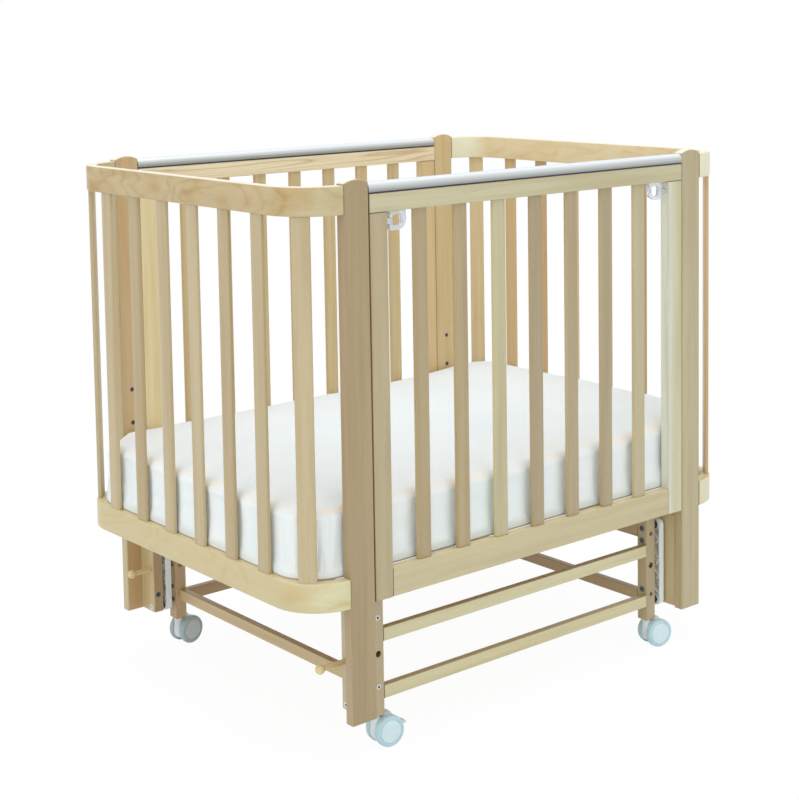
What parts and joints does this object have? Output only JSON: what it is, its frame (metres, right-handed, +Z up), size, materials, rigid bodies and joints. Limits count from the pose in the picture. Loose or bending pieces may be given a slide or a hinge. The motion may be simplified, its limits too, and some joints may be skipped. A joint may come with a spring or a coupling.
{
  "type": "pendulum crib",
  "caption": "Wooden cot with bent ends and a drop side, hung on links from a wheeled base frame so that it swings sideways.",
  "frame": {"origin": "on the floor below the middle of the cot", "axes": "+Z up, +X along the cot, -Y towards the drop side"},
  "size_m": [0.944, 0.68, 0.8913],
  "materials": {
    "beech": "satin lacquered beech",
    "ply": "satin lacquered bent plywood",
    "frame_wood": "lacquered beech, a little darker",
    "dowel": "turned dowel",
    "base_ply": "plain plywood",
    "cap": "silver-grey moulded cap",
    "clear": "clear moulded",
    "link_plastic": "white moulded",
    "caster_hood": "white moulded",
    "caster_wheel": "pale grey moulded",
    "sheet": "white cotton fitted sheet"
  },
  "bodies": {
    "base_frame": {"leg_front_left": "frame_wood", "leg_front_right": "frame_wood", "leg_back_left": "frame_wood", "leg_back_right": "frame_wood", "frame_rail_front_upper": "frame_wood", "frame_rail_front_lower": "frame_wood", "frame_rail_back_upper": "frame_wood", "frame_rail_back_lower": "frame_wood", "frame_rail_left_lower": "frame_wood", "frame_rail_right_lower": "frame_wood", "frame_board_left_upper": "frame_wood", "frame_board_right_upper": "frame_wood"},
    "cot": {"post_front_left": "beech", "post_front_right": "beech", "post_back_left": "beech", "post_back_right": "beech", "hanger_block_front_left": "beech", "hanger_block_front_right": "beech", "hanger_block_back_left": "beech", "hanger_block_back_right": "beech", "end_top_rail_left": "ply", "end_top_rail_right": "ply", "end_bottom_rail_and_slats_left": "ply", "end_bottom_rail_and_slats_right": "ply", "back_side_top_rail": "beech", "back_side_bottom_rail_and_slats": "beech", "back_side_stile_left": "beech", "back_side_stile_right": "beech", "back_side_teething_cap": "cap", "mattress_base": "base_ply", "mattress": "sheet"},
    "drop_side": {"drop_side_top_rail": "beech", "drop_side_bottom_rail": "beech", "drop_side_stile_left": "beech", "drop_side_stile_right": "beech", "drop_side_teething_cap": "cap", "drop_side_slat_1": "beech", "drop_side_slat_2": "beech", "drop_side_slat_3": "beech", "drop_side_slat_4": "beech", "drop_side_slat_5": "beech", "drop_side_slat_6": "beech", "drop_side_slat_7": "beech"},
    "latch_left_body": {"latch_left": "clear"},
    "latch_right_body": {"latch_right": "clear"},
    "link_front_left_body": {"link_front_left": "link_plastic"},
    "link_front_right_body": {"link_front_right": "link_plastic"},
    "link_back_left_body": {"link_back_left": "link_plastic"},
    "link_back_right_body": {"link_back_right": "link_plastic"},
    "lock_pin_front_body": {"lock_pin_front": "dowel"},
    "lock_pin_back_body": {"lock_pin_back": "dowel"},
    "caster_front_left": {"caster_hood_front_left": "caster_hood"},
    "wheels_front_left": {"caster_wheels_front_left": "caster_wheel"},
    "caster_front_right": {"caster_hood_front_right": "caster_hood"},
    "wheels_front_right": {"caster_wheels_front_right": "caster_wheel"},
    "caster_back_left": {"caster_hood_back_left": "caster_hood"},
    "wheels_back_left": {"caster_wheels_back_left": "caster_wheel"},
    "caster_back_right": {"caster_hood_back_right": "caster_hood"},
    "wheels_back_right": {"caster_wheels_back_right": "caster_wheel"},
    "brake": {"caster_brake_lever": "caster_hood"}
  },
  "joints": [
    {"name": "swing", "type": "hinge", "parent": "base_frame", "child": "link_front_left_body", "pos_m": [-0.33655, -0.2873, 0.21845], "axis": [1, 0, 0], "range_deg": [-7.5, 7.5]},
    {"name": "link_swing_front_right", "type": "hinge", "parent": "base_frame", "child": "link_front_right_body", "pos_m": [0.33655, -0.2873, 0.21845], "axis": [1, 0, 0], "range_deg": [-7.6, 7.6]},
    {"name": "link_swing_back_left", "type": "hinge", "parent": "base_frame", "child": "link_back_left_body", "pos_m": [-0.33655, 0.2873, 0.21845], "axis": [1, 0, 0], "range_deg": [-7.6, 7.6]},
    {"name": "link_swing_back_right", "type": "hinge", "parent": "base_frame", "child": "link_back_right_body", "pos_m": [0.33655, 0.2873, 0.21845], "axis": [1, 0, 0], "range_deg": [-7.6, 7.6]},
    {"name": "cot_level", "type": "hinge", "parent": "link_front_left_body", "child": "cot", "pos_m": [-0.33655, -0.2873, 0.08145], "axis": [1, 0, 0], "range_deg": [-7.6, 7.6]},
    {"name": "drop", "type": "slide", "parent": "cot", "child": "drop_side", "axis": [0, 0, 1], "range_m": [-0.19, 0]},
    {"name": "latch_pull_left", "type": "slide", "parent": "drop_side", "child": "latch_left_body", "axis": [1, 0, 0], "range_m": [0, 0.009], "stiffness_N_per_m": 300, "springref_m": -0.002},
    {"name": "latch_pull_right", "type": "slide", "parent": "drop_side", "child": "latch_right_body", "axis": [-1, 0, 0], "range_m": [0, 0.009], "stiffness_N_per_m": 300, "springref_m": -0.002},
    {"name": "lock_pull_front", "type": "slide", "parent": "cot", "child": "lock_pin_front_body", "axis": [-1, 0, 0], "range_m": [-0.01, 0.002]},
    {"name": "lock_pull_back", "type": "slide", "parent": "cot", "child": "lock_pin_back_body", "axis": [-1, 0, 0], "range_m": [0, 0.012]},
    {"name": "caster_swivel_front_left", "type": "hinge", "parent": "base_frame", "child": "caster_front_left", "pos_m": [-0.3103, -0.2873, 0.04], "axis": [0, 0, 1], "continuous": true},
    {"name": "wheel_roll_front_left", "type": "hinge", "parent": "caster_front_left", "child": "wheels_front_left", "pos_m": [-0.29283, -0.28945, 0.0248], "axis": [0.1219, 0.9925, 0], "continuous": true},
    {"name": "caster_swivel_front_right", "type": "hinge", "parent": "base_frame", "child": "caster_front_right", "pos_m": [0.3103, -0.2873, 0.04], "axis": [0, 0, 1], "continuous": true},
    {"name": "wheel_roll_front_right", "type": "hinge", "parent": "caster_front_right", "child": "wheels_front_right", "pos_m": [0.32745, -0.29126, 0.0248], "axis": [0.225, 0.9744, 0], "continuous": true},
    {"name": "caster_swivel_back_left", "type": "hinge", "parent": "base_frame", "child": "caster_back_left", "pos_m": [-0.3103, 0.2873, 0.04], "axis": [0, 0, 1], "continuous": true},
    {"name": "wheel_roll_back_left", "type": "hinge", "parent": "caster_back_left", "child": "wheels_back_left", "pos_m": [-0.29297, 0.29036, 0.0248], "axis": [-0.1736, 0.9848, 0], "continuous": true},
    {"name": "caster_swivel_back_right", "type": "hinge", "parent": "base_frame", "child": "caster_back_right", "pos_m": [0.3103, 0.2873, 0.04], "axis": [0, 0, 1], "continuous": true},
    {"name": "wheel_roll_back_right", "type": "hinge", "parent": "caster_back_right", "child": "wheels_back_right", "pos_m": [0.32768, 0.29005, 0.0248], "axis": [-0.1564, 0.9877, 0], "continuous": true},
    {"name": "brake_press", "type": "hinge", "parent": "caster_front_left", "child": "brake", "pos_m": [-0.27308, -0.29187, 0.0284], "axis": [0.1219, 0.9925, 0], "range_deg": [0, 18]}
  ],
  "couplings": [
    {"joint": "link_swing_front_right", "follows": "swing", "ratio": 1},
    {"joint": "link_swing_back_left", "follows": "swing", "ratio": 1},
    {"joint": "link_swing_back_right", "follows": "swing", "ratio": 1},
    {"joint": "cot_level", "follows": "swing", "ratio": -1}
  ]
}
